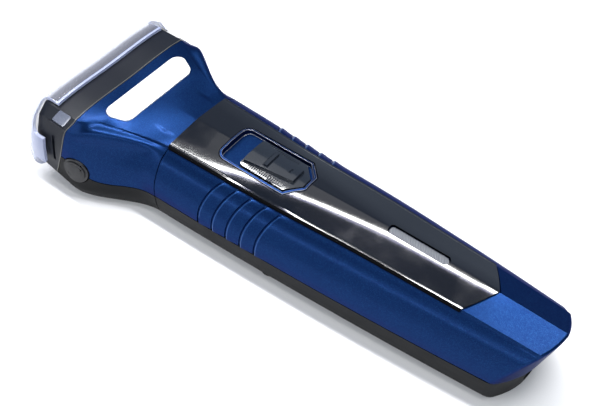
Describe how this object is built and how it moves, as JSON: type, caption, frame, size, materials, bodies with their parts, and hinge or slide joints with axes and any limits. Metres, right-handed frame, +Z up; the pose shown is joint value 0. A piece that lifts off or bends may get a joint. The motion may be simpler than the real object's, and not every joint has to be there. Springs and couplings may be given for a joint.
{
  "type": "electric shaver",
  "caption": "Cordless foil shaver lying on its back: tapered handle with gloss front and thumb switch, wide lift-off head with release buttons, foil frame and clear cap.",
  "frame": {"origin": "middle of the shaver's length, on the surface that its back lies on", "axes": "+X from the foils to the tail, +Y across the width, +Z up from the back to the front face"},
  "size_m": [0.1622, 0.063, 0.0283],
  "materials": {
    "blue_body": "satin metallic blue",
    "dark_grey_body": "satin",
    "piano_black": "polished",
    "charcoal_plastic": "satin",
    "clear_plastic": "clear",
    "white_label": "blank, matt",
    "cutting_steel": "fine",
    "motor_steel": "plated",
    "cell_wrap": "shrink-wrapped, blank",
    "nickel": "nickel plated",
    "brass": "turned",
    "board": "matt",
    "nylon": "natural"
  },
  "bodies": {
    "handle": {"upper_shell": "blue_body", "switch_bezel": "blue_body", "lower_shell": "dark_grey_body", "fascia": "piano_black", "charging_socket": "piano_black", "charge_window": "clear_plastic", "charge_lamp": "clear_plastic", "handle_screw_middle_right": "cutting_steel", "handle_screw_middle_left": "cutting_steel", "handle_screw_tail_right": "cutting_steel", "handle_screw_tail_left": "cutting_steel", "motor_can": "motor_steel", "battery_cell": "cell_wrap", "battery_tab_front": "nickel", "battery_tab_rear": "nickel", "slide_switch": "nickel", "socket_pin_right": "brass", "socket_pin_left": "brass", "circuit_board": "board", "battery_cradle": "nylon", "motor_bulkhead": "nylon"},
    "power_switch": {"switch_button": "piano_black", "switch_carrier": "nylon", "switch_knob": "nylon"},
    "rotor": {"motor_shaft": "cutting_steel", "drive_crank": "brass"},
    "head": {"head_front_shell": "blue_body", "head_back_shell": "dark_grey_body", "label_plate": "white_label", "neck_plug": "charcoal_plastic", "head_deck": "charcoal_plastic", "release_spring_right": "cutting_steel", "release_spring_left": "cutting_steel", "head_screw_right": "cutting_steel", "head_screw_left": "cutting_steel"},
    "release_button_right": {"release_button_right": "charcoal_plastic"},
    "release_button_left": {"release_button_left": "charcoal_plastic"},
    "cutters": {"drive_bridge": "nylon", "cutter_rear": "cutting_steel", "cutter_front": "cutting_steel", "cutter_spring_rear": "cutting_steel", "cutter_spring_front": "cutting_steel"},
    "foils": {"foil_frame": "charcoal_plastic", "foil_rear": "cutting_steel", "foil_front": "cutting_steel", "frame_window_right": "clear_plastic", "frame_window_left": "clear_plastic"},
    "cap": {"protective_cap": "clear_plastic"}
  },
  "joints": [
    {"name": "power_switch_slide", "type": "slide", "parent": "handle", "child": "power_switch", "axis": [-1, 0, 0], "range_m": [0, 0.005]},
    {"name": "rotor_spin", "type": "hinge", "parent": "handle", "child": "rotor", "pos_m": [-0.037, 0, 0.0103], "axis": [1, 0, 0], "continuous": true},
    {"name": "head_lift_off", "type": "slide", "parent": "handle", "child": "head", "axis": [-1, 0, 0], "range_m": [0, 0.008]},
    {"name": "release_press_right", "type": "slide", "parent": "head", "child": "release_button_right", "axis": [0, 1, 0], "range_m": [0, 0.0015], "stiffness_N_per_m": 600, "springref_m": -0.001},
    {"name": "release_press_left", "type": "slide", "parent": "head", "child": "release_button_left", "axis": [0, -1, 0], "range_m": [0, 0.0015], "stiffness_N_per_m": 600, "springref_m": -0.001},
    {"name": "cutter_oscillation", "type": "slide", "parent": "head", "child": "cutters", "axis": [0, 1, 0], "range_m": [-0.001, 0.001]},
    {"name": "foil_frame_lift_off", "type": "slide", "parent": "head", "child": "foils", "axis": [-1, 0, 0], "range_m": [0, 0.012]},
    {"name": "cap_pull_off", "type": "slide", "parent": "foils", "child": "cap", "axis": [-1, 0, 0], "range_m": [0, 0.014]}
  ]
}
